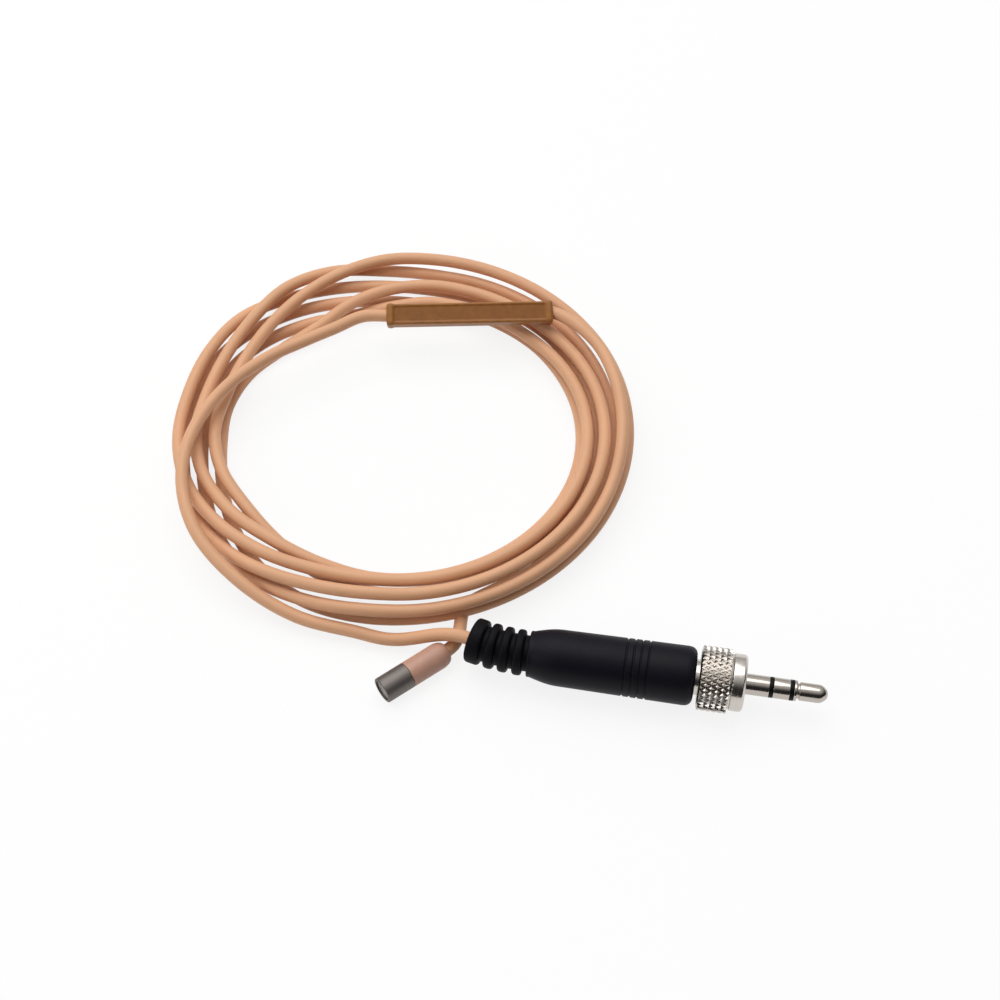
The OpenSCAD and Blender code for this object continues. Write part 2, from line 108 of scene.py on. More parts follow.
MIC_R = 0.0023
MIC_LEN = 0.0132
MIC_DIR = np.array([0.5, 0.5, 0.0]) / np.sqrt(0.5)
MIC_MIDDLE = 0.00624985
MIC_EXIT = MIC_DIR * (MIC_LEN - MIC_MIDDLE) + np.array([0, 0, MIC_R])

NUT_R = 0.0054
PLUG_AT = np.array([0.047, 0.0048, NUT_R])
BODY_LEN = 0.028
RELIEF_LEN = 0.010
RELIEF_BEND = 0.040


def ease(x, a, b):
    """A smooth step: 0 before a, 1 past b, and three squares less two cubes of the share between."""
    t = np.clip((x - a) / (b - a), 0, 1)
    return t * t * (3 - 2 * t)


def unit(v):
    """Each vector divided by its own length."""
    return v / np.linalg.norm(v, axis=-1, keepdims=True)


def coil_line():
    """Centre line of the coil. The band's outline has round ends and is higher where the band is narrow.
    On every lap a turn moves back five sevenths of the way round it, at the far left and the near left:
    out along the floor, up, in along the top and down. The last turn leaves the outline for a straight
    chord that carries the tag, then crosses over the others to the cable's end outside them."""
    last_rings = int((COIL_TO - COIL_FROM) * RINGS_PER_TURN / 360) + 1
    i = np.arange((COIL_TURNS - 1) * RINGS_PER_TURN + last_rings)
    a = COIL_FROM + 360 / RINGS_PER_TURN * (i % RINGS_PER_TURN)
    inner = BAND_IN - BAND_IN_SWING * np.cos(np.radians(a - BAND_IN_AT))
    outer = BAND_OUT + BAND_OUT_SWING * np.cos(np.radians(a - BAND_OUT_AT))
    pile = STACK_H + PILE_RATE * np.maximum(FULL_WIDTH - outer + inner, 0)
    q = pile / 2
    flat = outer - inner - pile
    bend = np.pi * q
    laps = i // RINGS_PER_TURN + FAR_SHARE * ease(a, *FAR_MOVE) + (1 - FAR_SHARE) * ease(a, *NEAR_MOVE)
    s = (FIRST_SHARE - PLACES_PER_TURN / COIL_TURNS * laps) % 1 * 2 * (flat + bend)
    rising = (s - flat) / q
    falling = (s - 2 * flat - bend) / q
    stretches = [s < flat, s < flat + bend, s < 2 * flat + bend]
    radius = np.select(
        stretches, [outer - q - s, inner + q - q * np.sin(rising), inner + q + s - flat - bend],
        outer - q + q * np.sin(falling))
    height = np.select(stretches, [0 * s, q - q * np.cos(rising), pile], q + q * np.cos(falling))
    chord = TAG_CHORD / np.sin(np.radians(np.clip(a, TAG_FROM_A, TAG_TO_A) - TAG_LEAN))
    chord_h = TAG_H - CABLE_R
    last = i >= (COIL_TURNS - 1) * RINGS_PER_TURN
    going = last & (a < (TAG_FROM_A + TAG_TO_A) / 2)
    coming = last & ~going
    radius = np.select(
        [going, coming],
        [radius + (chord - radius) * ease(a, *TAG_TURN_IN),
         chord + (outer + END_CLEAR - chord) * ease(a, *TAG_TURN_OUT)], radius)
    height = np.select(
        [going, coming],
        [height + (chord_h - height) * ease(a, *TAG_RISE),
         chord_h + (END_H - chord_h) * ease(a, *TAG_FALL)], height)
    bearing = np.radians(a + COIL_ROTATION)
    return np.stack([COIL_AT[0] + radius * np.cos(bearing), COIL_AT[1] + radius * np.sin(bearing),
                     CABLE_R + height], axis=1)


def cubic(p, m, q, n, t):
    """A cubic from p, which it leaves along m, to q, which it reaches along n, at the shares t of its way.
    The ends are weighed by smooth steps, and m and n by one share times the square of the other."""
    leaving = p * (1 + 2 * t) * (1 - t) ** 2 + m * t * (1 - t) ** 2
    return leaving + q * t * t * (3 - 2 * t) - n * t * t * (1 - t)


def tail_line(start, start_dir, end, end_dir):
    """A free stretch of cable: one cubic that leaves along the first direction and arrives along the
    second, each taken a little further than the straight way between the ends."""
    reach = TAIL_EASE * np.linalg.norm(end - start)
    return cubic(start, reach * start_dir, end, reach * end_dir, np.linspace(0, 1, TAIL_POINTS)[:, None])


def smooth_line(points, step):
    """Cubics through the points, each tangent weighed by the lengths of its two stretches, read off at
    equal steps of their length."""
    gaps = np.linalg.norm(np.diff(points, axis=0), axis=1)
    slopes = np.diff(points, axis=0) / gaps[:, None]
    inside = (slopes[:-1] * gaps[1:, None] + slopes[1:] * gaps[:-1, None]) / (gaps[1:] + gaps[:-1])[:, None]
    tangents = np.vstack([slopes[:1], inside, slopes[-1:]])
    leave, arrive = (tangents[:-1] * gaps[:, None])[:, None], (tangents[1:] * gaps[:, None])[:, None]
    t = np.linspace(0, 1, CURVE_STEPS, endpoint=False)[None, :, None]
    fine = cubic(points[:-1, None], leave, points[1:, None], arrive, t)
    fine = np.vstack([fine.reshape(-1, 3), points[-1:]])
    along = np.append(0, np.cumsum(np.linalg.norm(np.diff(fine, axis=0), axis=1)))
    even = np.linspace(0, along[-1], int(along[-1] / step) + 1)
    return np.stack([np.interp(even, along, fine[:, k]) for k in range(3)], axis=1)


def headings(line):
    """Direction of a line at each of its points, from the points before and after."""
    return unit(np.gradient(line, axis=0))


def rings(centres, directions, radii, sides):
    """A circle square to its direction round every centre, as a grid of rows and columns. A radius is one
    number for its circle or one for each of its sides."""
    across = unit(np.cross([0.0, 0.0, 1.0], directions))
    up = np.cross(directions, across)
    turn = np.linspace(0, 2 * np.pi, sides, endpoint=False)[None, :, None]
    radii = np.asarray(radii, float).reshape(len(centres), -1)[:, :, None]
    return centres[:, None] + radii * (np.cos(turn) * across[:, None] + np.sin(turn) * up[:, None])


def round_quads(ids):
    """Quads between every row of point numbers and the next, where the columns close round."""
    beside = np.roll(ids, -1, axis=-1)
    corners = [ids[..., :-1, :], beside[..., :-1, :], beside[..., 1:, :], ids[..., 1:, :]]
    return np.stack(corners, axis=-1).reshape(-1, 4)


def add_piece(name, points, quads):
    """A new object with its place in its mesh, shaded smooth."""
    mesh = bpy.data.meshes.new(name)
    mesh.from_pydata(points.reshape(-1, 3).tolist(), [], quads.tolist())
    mesh.polygons.foreach_set("use_smooth", np.ones(len(quads), bool))
    piece = bpy.data.objects.new(name, mesh)
    bpy.context.scene.collection.objects.link(piece)
    return piece


WELD = 1e-7
SHARP = 40


def weld(mesh):
    """Joins points that lie on one another, as at the ends of a tube."""
    shell = bmesh.new()
    shell.from_mesh(mesh)
    bmesh.ops.remove_doubles(shell, verts=shell.verts, dist=WELD)
    shell.to_mesh(mesh)
    shell.free()


def skin(name, grid, looped, sharp=SHARP):
    """Quads over a grid whose columns close round it. A looped grid also joins its last row to its
    first, as the outside and bore of a tube do. The map holds the length along and the share round."""
    rows, columns = grid.shape[:2]
    ids = np.arange(rows * columns).reshape(rows, columns)
    ids = np.vstack([ids, ids[:1]]) if looped else ids
    piece = add_piece(name, grid, round_quads(ids))
    along = np.append(0, np.cumsum(np.linalg.norm(np.diff(grid.mean(axis=1), axis=0), axis=1)))
    along = np.append(along, along[-1]) if looped else along
    u, v = np.meshgrid(along, np.arange(columns) / columns, indexing="ij")
    step = 1 / columns
    u = np.stack([u[:-1], u[:-1], u[1:], u[1:]], axis=-1).reshape(-1)
    v = np.stack([v[:-1], v[:-1] + step, v[1:] + step, v[1:]], axis=-1).reshape(-1)
    flat_map = np.stack([u, v], axis=1).astype(np.float32).ravel()
    piece.data.uv_layers.new(name="UVMap").data.foreach_set("uv", flat_map)
    if not looped:
        weld(piece.data)
    piece.data.set_sharp_from_angle(angle=np.radians(sharp))
    piece.data.update()
    return piece


def dress(piece, material, body, slot, *nodes):
    """Gives a piece its material and its body, and hides the solids that it stands for. The slot is not
    used.
    """
    piece.data.materials.append(material)
    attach(piece, body)
    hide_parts(*nodes)
    return piece


FLOAT = "NodeSocketFloat"
COLOUR = "NodeSocketColor"
NOISE_MEAN = 0.5
NOISE_DETAIL = 2.0
GRAIN_DETAIL = 3.0
GRAIN_SPREAD = 0.25
PLAIN_GLOSS = 0.5


def new_group(name, inputs, outputs):
    """An empty shader group with its named sockets, and its input and output nodes."""
    group = bpy.data.node_groups.new(name, "ShaderNodeTree")
    for label, kind in inputs:
        group.interface.new_socket(label, in_out="INPUT", socket_type=kind)
    for label, kind in outputs:
        group.interface.new_socket(label, in_out="OUTPUT", socket_type=kind)
    return group, group.nodes.new("NodeGroupInput"), group.nodes.new("NodeGroupOutput")


def maths(tree, operation, a, b):
    """The output of a Math node; a and b are sockets or plain numbers."""
    node = tree.nodes.new("ShaderNodeMath")
    node.operation = operation
    for socket, value in zip(node.inputs, (a, b)):
        if isinstance(value, (int, float)):
            socket.default_value = value
        else:
            tree.links.new(value, socket)
    return node.outputs[0]


def scaled(tree, vector, factor):
    """A vector or colour times a factor that changes over the surface."""
    node = tree.nodes.new("ShaderNodeVectorMath")
    node.operation = "SCALE"
    tree.links.new(vector, node.inputs[0])
    tree.links.new(factor, node.inputs["Scale"])
    return node.outputs[0]


def noise(tree, vector, scale, detail=NOISE_DETAIL):
    """Noise on a vector, about a half on average; scale is a socket or a plain number."""
    node = tree.nodes.new("ShaderNodeTexNoise")
    node.inputs["Detail"].default_value = detail
    tree.links.new(vector, node.inputs["Vector"])
    if isinstance(scale, (int, float)):
        node.inputs["Scale"].default_value = scale
    else:
        tree.links.new(scale, node.inputs["Scale"])
    return node.outputs[0]


def about_zero(tree, value):
    """Noise less its average."""
    return maths(tree, "SUBTRACT", value, NOISE_MEAN)


def moulded_skin():
    """Moulded or extruded plastic: a slow mottle brightens and dulls the colour, and a fine grain of the
    given scale moves the roughness and gives the height."""
    group, given, out = new_group(
        "moulded_skin",
        (("Colour", COLOUR), ("Mottle", FLOAT), ("Mottle scale", FLOAT), ("Roughness", FLOAT),
         ("Grain scale", FLOAT)),
        (("Colour", COLOUR), ("Roughness", FLOAT), ("Height", FLOAT)))
    place = group.nodes.new("ShaderNodeTexCoord").outputs["Object"]
    slow = about_zero(group, noise(group, place, given.outputs["Mottle scale"]))
    fine = noise(group, place, given.outputs["Grain scale"], GRAIN_DETAIL)
    shade = maths(group, "ADD", maths(group, "MULTIPLY", slow, given.outputs["Mottle"]), 1.0)
    group.links.new(scaled(group, given.outputs["Colour"], shade), out.inputs["Colour"])
    spread = maths(group, "MULTIPLY", about_zero(group, fine), GRAIN_SPREAD)
    group.links.new(maths(group, "ADD", given.outputs["Roughness"], spread), out.inputs["Roughness"])
    group.links.new(fine, out.inputs["Height"])
    return group


MOULDED_SKIN = moulded_skin()


def new_material(name):
    """A new material, with its tree and its Principled shader."""
    material = bpy.data.materials.new(name)
    material.use_nodes = True
    return material, material.node_tree, material.node_tree.nodes["Principled BSDF"]


def place_group(tree, group, shader, depth, **values):
    """A group placed in a material under its own name, with its colour and roughness on the shader and a
    bump of the given depth in metres. Underscores in the names of its values stand for spaces."""
    node = tree.nodes.new("ShaderNodeGroup")
    node.node_tree = group
    node.name = group.name
    for label, value in values.items():
        node.inputs[label.replace("_", " ")].default_value = value
    tree.links.new(node.outputs["Colour"], shader.inputs["Base Color"])
    tree.links.new(node.outputs["Roughness"], shader.inputs["Roughness"])
    bump = tree.nodes.new("ShaderNodeBump")
    bump.inputs["Distance"].default_value = depth
    tree.links.new(node.outputs["Height"], bump.inputs["Height"])
    tree.links.new(bump.outputs["Normal"], shader.inputs["Normal"])


def moulded(name, colour, roughness, grain_scale, mottle, mottle_scale, depth, gloss=PLAIN_GLOSS):
    """Plastic finish: the moulded skin group over one colour, with the shader's own level of gloss."""
    material, tree, shader = new_material(name)
    shader.inputs["Specular IOR Level"].default_value = gloss
    place_group(tree, MOULDED_SKIN, shader, depth, Colour=(*colour, 1), Mottle=mottle,
                Mottle_scale=mottle_scale, Roughness=roughness, Grain_scale=grain_scale)
    return material


COIL_LINE = coil_line()
COIL_START_DIR = unit(COIL_LINE[1] - COIL_LINE[0])
COIL_END_DIR = unit(COIL_LINE[-1] - COIL_LINE[-2])
COIL_START = COIL_LINE[0] - CABLE_D * COIL_START_DIR
COIL_END = COIL_LINE[-1] + CABLE_D * COIL_END_DIR
RELIEF_TURN = RELIEF_LEN / RELIEF_BEND
RELIEF_END = PLUG_AT + np.array([-BODY_LEN - RELIEF_BEND * np.sin(RELIEF_TURN),
                                 RELIEF_BEND * (1 - np.cos(RELIEF_TURN)), 0])
RELIEF_DIR = np.array([np.cos(RELIEF_TURN), -np.sin(RELIEF_TURN), 0])
CABLE_ROUTE = np.vstack([
    tail_line(MIC_EXIT, MIC_DIR, COIL_START, COIL_START_DIR), COIL_LINE,
    tail_line(COIL_END, COIL_END_DIR, RELIEF_END, RELIEF_DIR)])

cable_line = smooth_line(CABLE_ROUTE, CABLE_STEP)
cable_heads = headings(cable_line)
cable_rows = np.vstack([cable_line[:1], cable_line, cable_line[-1:]])
cable_turns = np.vstack([cable_heads[:1], cable_heads, cable_heads[-1:]])
cable_radii = np.pad(np.full(len(cable_line), CABLE_R), 1)
cable = skin("cable", rings(cable_rows, cable_turns, cable_radii, CABLE_SIDES), looped=False)
cable_finish = moulded("cable_jacket", CABLE_COLOUR, roughness=0.46, grain_scale=9000.0, mottle=0.16,
                       mottle_scale=90.0, depth=0.000004, gloss=0.3)
dress(cable, cable_finish, "microphone", "cable_beige", "mic_tail", "coil", "plug_tail")

# Tag: a soft brown sleeve moulded tight round one strand of the cable, with a flange at each end and a
# raised rim round a long sunk face. The face is bare.
TAG_LEN = 0.0314
TAG_W = 0.004
TAG_T = 0.0032
TAG_ROLL = np.radians(28)
TAG_ALONG = 0.01243
TAG_CORNER = 0.0005
TAG_FLANGE = 0.0012
TAG_FLANGE_BLEND = 0.0002
TAG_PROUD = 0.00015
TAG_RIM = 0.0003
TAG_RIM_BLEND = 0.0004
TAG_RECESS = 0.0002
TAG_END_ROUND = 0.0006
TAG_BORE_R = CABLE_R + 0.00005
TAG_ROWS = 160
TAG_COLUMNS = 128
NO_LENGTH = 1e-9
TAG_COLOUR = (0.265, 0.10, 0.021)
# The rim's lighter colour is a painted highlight along the raised rim; the sunk face keeps the tag's own
# colour.
TAG_RIM_HIGHLIGHT_COLOUR = (0.33, 0.138, 0.036)


def tag_grid():
    """A rounded rectangle carried along the strand, with its rows closer towards the ends. It swells into
    a flange at each end, rounds over at the end faces, and its top sinks inside the rim; the grid returns
    through the bore. The second array is how far each point is sunk, from 0 to 1."""
    half = TAG_LEN / 2
    x = half * np.sin(np.linspace(-np.pi / 2, np.pi / 2, TAG_ROWS))
    edge = np.clip((np.abs(x) - half + TAG_END_ROUND) / TAG_END_ROUND, 0, 1)
    inset = TAG_END_ROUND * (1 - np.sqrt(1 - edge ** 2))
    flange_at = half - TAG_FLANGE
    grow = TAG_PROUD * ease(np.abs(x), flange_at - TAG_FLANGE_BLEND, flange_at + TAG_FLANGE_BLEND) - inset
    turn = np.linspace(0, 2 * np.pi, TAG_COLUMNS, endpoint=False)
    flat_w, flat_t = TAG_W / 2 - TAG_CORNER, TAG_T / 2 - TAG_CORNER
    reach = np.stack([np.cos(turn), np.sin(turn)], axis=1)
    reach = reach / np.maximum(np.abs(reach[:, :1]) / (TAG_W / 2), np.abs(reach[:, 1:]) / (TAG_T / 2))
    core = np.clip(reach, [-flat_w, -flat_t], [flat_w, flat_t])
    outward = reach - core
    size = np.linalg.norm(outward, axis=1, keepdims=True)
    outward = outward / np.maximum(size, NO_LENGTH)
    y = core[None, :, 0] + outward[None, :, 0] * (TAG_CORNER + grow[:, None])
    z = core[None, :, 1] + outward[None, :, 1] * (TAG_CORNER + grow[:, None])
    over = (ease(half - TAG_FLANGE - np.abs(x), 0, TAG_RIM_BLEND)[:, None]
            * ease(TAG_W / 2 - TAG_RIM - np.abs(y), 0, TAG_RIM_BLEND))
    z = z - TAG_RECESS * over * (z > 0)
    outside = np.stack([np.broadcast_to(x[:, None], y.shape), y, z], axis=2)
    bore = np.stack([0 * turn, TAG_BORE_R * np.cos(turn), TAG_BORE_R * np.sin(turn)], axis=1)
    ends = [bore + [end * half, 0, 0] for end in (-1, 1)]
    sunk = np.pad(over * (z > 0), ((1, 1), (0, 0)))
    return np.concatenate([ends[0][None], outside, ends[1][None]]), sunk


tag_turn = np.radians(COIL_ROTATION + TAG_LEAN)
TAG_X = np.array([np.cos(tag_turn), np.sin(tag_turn), 0])
TAG_FLAT = np.array([-np.sin(tag_turn), np.cos(tag_turn), 0])
TAG_UP = np.array([0.0, 0.0, 1.0])
TAG_Y = TAG_FLAT * np.cos(TAG_ROLL) + TAG_UP * np.sin(TAG_ROLL)
TAG_Z = TAG_UP * np.cos(TAG_ROLL) - TAG_FLAT * np.sin(TAG_ROLL)
TAG_AT = np.append(COIL_AT, TAG_H) + TAG_ALONG * TAG_X + TAG_CHORD * TAG_FLAT
tag_shape, tag_sunk = tag_grid()
tag = skin("tag_moulding", TAG_AT + tag_shape @ np.stack([TAG_X, TAG_Y, TAG_Z]), looped=True)
sunk_values = tag.data.attributes.new("sunk", "FLOAT", "POINT").data
sunk_values.foreach_set("value", tag_sunk.ravel().astype(np.float32))
tag_finish = moulded("tag_plastic", TAG_COLOUR, roughness=0.42, grain_scale=4000.0, mottle=0.5,
                     mottle_scale=900.0, depth=0.00002, gloss=0.25)
tag_tree = tag_finish.node_tree
# Painted highlight: the rim outside the sunk face takes the lighter rim colour, and the sunk face takes the
# tag's own colour.
tag_mask = tag_tree.nodes.new("ShaderNodeAttribute")
tag_mask.attribute_name = "sunk"
tag_highlight_mix = tag_tree.nodes.new("ShaderNodeMix")
tag_highlight_mix.data_type = "RGBA"
mix_in = {socket.identifier: socket for socket in tag_highlight_mix.inputs}
mix_out = {socket.identifier: socket for socket in tag_highlight_mix.outputs}
mix_in["A_Color"].default_value = (*TAG_RIM_HIGHLIGHT_COLOUR, 1)
mix_in["B_Color"].default_value = (*TAG_COLOUR, 1)
tag_tree.links.new(tag_mask.outputs["Fac"], mix_in["Factor_Float"])
tag_tree.links.new(mix_out["Result_Color"], tag_tree.nodes[MOULDED_SKIN.name].inputs["Colour"])
dress(tag, tag_finish, "microphone", "tag_brown", "cable_tag")

# Housing: the skin-toned plastic barrel that the cable comes out of, moulded in one piece. It has a
# rounded shoulder at the cable, and in front a thinner spigot that holds the capsule and takes the cap.
CAP_LEN = 0.0052
SPIGOT_R = 0.00195
SPIGOT_FROM = 0.0008
SPIGOT_EDGE = 0.0001
CAN_R = 0.00155
CAN_BEHIND_CAP = 0.003
SHOULDER_LEN = 0.002
SHOULDER_POINTS = 12
EXIT_R = 0.0012
HEAD_SLACK = 0.00005
HEAD_SIDES = 96
HOUSING_EDGE = 0.00012
HOUSING_COLOUR = (0.515, 0.28, 0.20)
MIC_AT = np.array([0, 0, MIC_R]) - MIC_DIR * MIC_MIDDLE
FILLET_POINTS = 6


def filleted(corners):
    """An outline of (along, radius, rounding) corners, where each corner turns on a parabola that starts
    and ends its rounding away from it. The outline is closed."""
    points = np.array([c[:2] for c in corners], float)
    before, after = np.roll(points, 1, axis=0), np.roll(points, -1, axis=0)
    cut = np.array([c[2] for c in corners], float)[:, None]
    start = points + cut * unit(before - points)
    end = points + cut * unit(after - points)
    t = np.linspace(0, 1, FILLET_POINTS)[None, :, None]
    curve = (start[:, None] * (1 - t) ** 2 + 2 * points[:, None] * t * (1 - t) + end[:, None] * t ** 2)
    keep = np.broadcast_to((cut > 0) | (np.arange(FILLET_POINTS) == 0), (len(corners), FILLET_POINTS))
    return curve[keep]


def lathe(along, radii, origin, direction, sides):
    """A grid of circles square to an axis, from their places along it and their radii."""
    return rings(origin + along[:, None] * direction, np.tile(direction, (len(along), 1)), radii, sides)


def turned(name, corners, origin, direction, sides, looped=True):
    """An outline carried round an axis, as on a lathe. One that is not looped starts and ends on the
    axis itself."""
    outline = filleted(corners)
    return skin(name, lathe(outline[:, 0], outline[:, 1], origin, direction, sides), looped)


shoulder_outline = [
    (MIC_LEN - SHOULDER_LEN + SHOULDER_LEN * np.sin(k), EXIT_R + (MIC_R - EXIT_R) * np.cos(k), 0)
    for k in np.linspace(0, np.pi / 2, SHOULDER_POINTS)]
can_to = CAP_LEN + CAN_BEHIND_CAP
housing = turned("housing_moulding", [
    (SPIGOT_FROM, CAN_R, 0), (SPIGOT_FROM, SPIGOT_R, SPIGOT_EDGE), (CAP_LEN + HEAD_SLACK, SPIGOT_R, 0),
    (CAP_LEN + HEAD_SLACK, MIC_R, HOUSING_EDGE), *shoulder_outline,
    (MIC_LEN, CABLE_R, 0), (can_to, CABLE_R, 0), (can_to, CAN_R, 0)], MIC_AT, MIC_DIR, HEAD_SIDES)
housing_finish = moulded("housing_plastic", HOUSING_COLOUR, roughness=0.42, grain_scale=5000.0, mottle=0.2,
                         mottle_scale=500.0, depth=0.000008)
dress(housing, housing_finish, "microphone", "housing_plastic", "mic_housing")

# Cap: a grey metal cup, drawn from sheet and pushed over the housing's spigot until it is flush with the
# housing. Its front edge is rounded, and a wide sound opening leaves only a narrow lip.
CAP_COLOUR = (0.20, 0.178, 0.165)
CAP_R = MIC_R
CAP_BORE_R = 0.00198
CAP_FACE_T = 0.00025
CAP_EDGE = 0.0002
CAP_REAR_EDGE = 0.00006
PORT_R = 0.0018
PORT_EDGE = 0.00008
LINE_SPREAD = 0.25
TARNISH_SCALE = 700.0
TARNISH_SPREAD = 0.12
VECTOR = "NodeSocketVector"


def lathe_lines():
    """Turned or drawn metal: fine noise along the piece's own axis leaves rings of changing roughness and
    height, and a slow noise dulls the colour."""
    group, given, out = new_group(
        "lathe_lines",
        (("Colour", COLOUR), ("Axis", VECTOR), ("Line scale", FLOAT), ("Roughness", FLOAT),
         ("Tarnish", FLOAT)),
        (("Colour", COLOUR), ("Roughness", FLOAT), ("Height", FLOAT)))
    place = group.nodes.new("ShaderNodeTexCoord").outputs["Object"]
    dot = group.nodes.new("ShaderNodeVectorMath")
    dot.operation = "DOT_PRODUCT"
    group.links.new(place, dot.inputs[0])
    group.links.new(given.outputs["Axis"], dot.inputs[1])
    line = group.nodes.new("ShaderNodeTexNoise")
    line.noise_dimensions = "1D"
    group.links.new(dot.outputs["Value"], line.inputs["W"])
    group.links.new(given.outputs["Line scale"], line.inputs["Scale"])
    fine = about_zero(group, line.outputs[0])
    slow = about_zero(group, noise(group, place, TARNISH_SCALE))
    shade = maths(group, "ADD", maths(group, "MULTIPLY", slow, given.outputs["Tarnish"]), 1.0)
    group.links.new(scaled(group, given.outputs["Colour"], shade), out.inputs["Colour"])
    rough = maths(group, "ADD", maths(group, "MULTIPLY", fine, LINE_SPREAD),
                  maths(group, "MULTIPLY", slow, TARNISH_SPREAD))
    group.links.new(maths(group, "ADD", given.outputs["Roughness"], rough), out.inputs["Roughness"])
    group.links.new(line.outputs[0], out.inputs["Height"])
    return group


LATHE_LINES = lathe_lines()


def metal(name, colour, roughness, axis, line_scale, tarnish, depth):
    """Metal finish: the lathe lines group over one colour."""
    material, tree, shader = new_material(name)
    shader.inputs["Metallic"].default_value = 1.0
    place_group(tree, LATHE_LINES, shader, depth, Colour=(*colour, 1), Axis=tuple(axis),
                Line_scale=line_scale, Roughness=roughness, Tarnish=tarnish)
    return material


cap = turned("cap_cup", [
    (0, CAP_R, CAP_EDGE), (CAP_LEN, CAP_R, CAP_REAR_EDGE), (CAP_LEN, CAP_BORE_R, 0),
    (CAP_FACE_T, CAP_BORE_R, 0), (CAP_FACE_T, PORT_R, 0),
    (0, PORT_R, PORT_EDGE)], MIC_AT, MIC_DIR, HEAD_SIDES)
cap_finish = metal("cap_metal", CAP_COLOUR, roughness=0.55, axis=MIC_DIR, line_scale=6000.0, tarnish=0.3,
                   depth=0.000003)
dress(cap, cap_finish, "cap", "cap_metal", "mic_cap")

# Screen: fine steel wire in a plain weave, cut to a disc and pressed into the cap behind its opening.
# Two sets of wires lie square to each other and wave over and under.
SCREEN_T = 0.00025
SCREEN_R = 0.00197
WIRE_R = 0.00004
WIRE_PITCH = 0.00016
WIRE_ROWS = 72
WIRE_SIDES = 6
SCREEN_COLOUR = (0.45, 0.43, 0.41)


def weave_grid(crossing):
    """One set of parallel wires: each runs along a chord of the disc, closes at its ends, and waves over
    and under the wires that cross it. Rows run along the wires and columns run round them. The crossing
    set has its two flat axes and its columns swapped, and waves the other way."""
    place = np.arange(-SCREEN_R + WIRE_PITCH, SCREEN_R - WIRE_PITCH / 2, WIRE_PITCH)
    reach = np.sqrt(SCREEN_R ** 2 - place ** 2)
    share = np.concatenate([[-1], np.linspace(-1, 1, WIRE_ROWS), [1]])
    thick = np.pad(np.ones(WIRE_ROWS), 1)[None, :, None, None]
    along = share[None] * reach[:, None]
    phase = np.pi * (np.arange(len(place))[:, None] + crossing)
    wave = WIRE_R * np.sin(np.pi * along / WIRE_PITCH + phase)
    flat = np.stack([along, np.broadcast_to(place[:, None], along.shape), wave], axis=2)
    turn = np.linspace(0, 2 * np.pi, WIRE_SIDES, endpoint=False)
    circle = WIRE_R * np.stack([0 * turn, np.cos(turn), np.sin(turn)], axis=1)
    wires = flat[:, :, None] + thick * circle
    return wires[:, :, ::-1, [1, 0, 2]] if crossing else wires


MIC_ACROSS = unit(np.cross([0.0, 0.0, 1.0], MIC_DIR))
SCREEN_AXES = np.stack([MIC_ACROSS, np.cross(MIC_DIR, MIC_ACROSS), MIC_DIR])
screen_middle = MIC_AT + MIC_DIR * (CAP_FACE_T + SCREEN_T / 2)
screen_wires = screen_middle + np.concatenate([weave_grid(0), weave_grid(1)]) @ SCREEN_AXES
screen_ids = np.arange(screen_wires[..., 0].size).reshape(screen_wires.shape[:3])
screen = add_piece("screen_weave", screen_wires, round_quads(screen_ids))
weld(screen.data)
screen_finish = metal("screen_metal", SCREEN_COLOUR, roughness=0.4, axis=MIC_DIR, line_scale=3000.0,
                      tarnish=0.3, depth=0.000001)
dress(screen, screen_finish, "cap", "screen_metal", "cap_screen")

# Capsule: a drawn can in the spigot with a brass diaphragm ring and back plate, a small board, and two
# insulated cores to the end of the cable. These solids, and the hidden ones in the plug, keep their shape.
CAN_COLOUR = (0.70, 0.70, 0.68)
BRASS_COLOUR = (0.66, 0.5, 0.26)
BOARD_COLOUR = (0.06, 0.2, 0.1)
CORE_COLOUR = (0.5, 0.06, 0.05)
PLUG_DIR = np.array([1.0, 0.0, 0.0])
can_finish = metal("can_metal", CAN_COLOUR, roughness=0.3, axis=MIC_DIR, line_scale=4000.0, tarnish=0.2,
                   depth=0.000002)
brass_finish = metal("contact_brass", BRASS_COLOUR, roughness=0.3, axis=PLUG_DIR, line_scale=4000.0,
                     tarnish=0.3, depth=0.000002)
board_finish = moulded("board_mask", BOARD_COLOUR, roughness=0.4, grain_scale=6000.0, mottle=0.2,
                       mottle_scale=900.0, depth=0.000004)
core_finish = moulded("core_insulation", CORE_COLOUR, roughness=0.4, grain_scale=6000.0, mottle=0.2,
                      mottle_scale=900.0, depth=0.000004)


def refinish(material, *nodes):
    """Gives solids that keep their own shape a better finish."""
    for name in nodes:
        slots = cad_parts[name].data.materials
        slots.clear()
        slots.append(material)


refinish(can_finish, "capsule_can")
refinish(brass_finish, "diaphragm", "diaphragm_ring", "back_plate", "crimp_ferrule", "shield_shell",
         "ring_terminal", "tip_terminal")
refinish(board_finish, "capsule_board")
refinish(core_finish, "mic_cores", "plug_cores")
refinish(cable_finish, "mic_cable_end", "plug_cable_end")

# Strain relief: soft black ribs moulded round the cable where it enters the plug. The cable pulls it a
# little to one side, so the ribs follow a wide arc; the rear rib is the longest.
RELIEF_R = 0.0039
RELIEF_CORE_R = 0.00305
RELIEF_SIDES = 96
RELIEF_BORE_ROWS = 12
RIB_COUNT = 4
RIB_SHARE = 0.66
RIB_ROUND = 0.0006
RIB_ROOT = 0.0002
REAR_RIB_EXTRA = 0.35
RELIEF_COLOUR = (0.003, 0.0027, 0.0048)


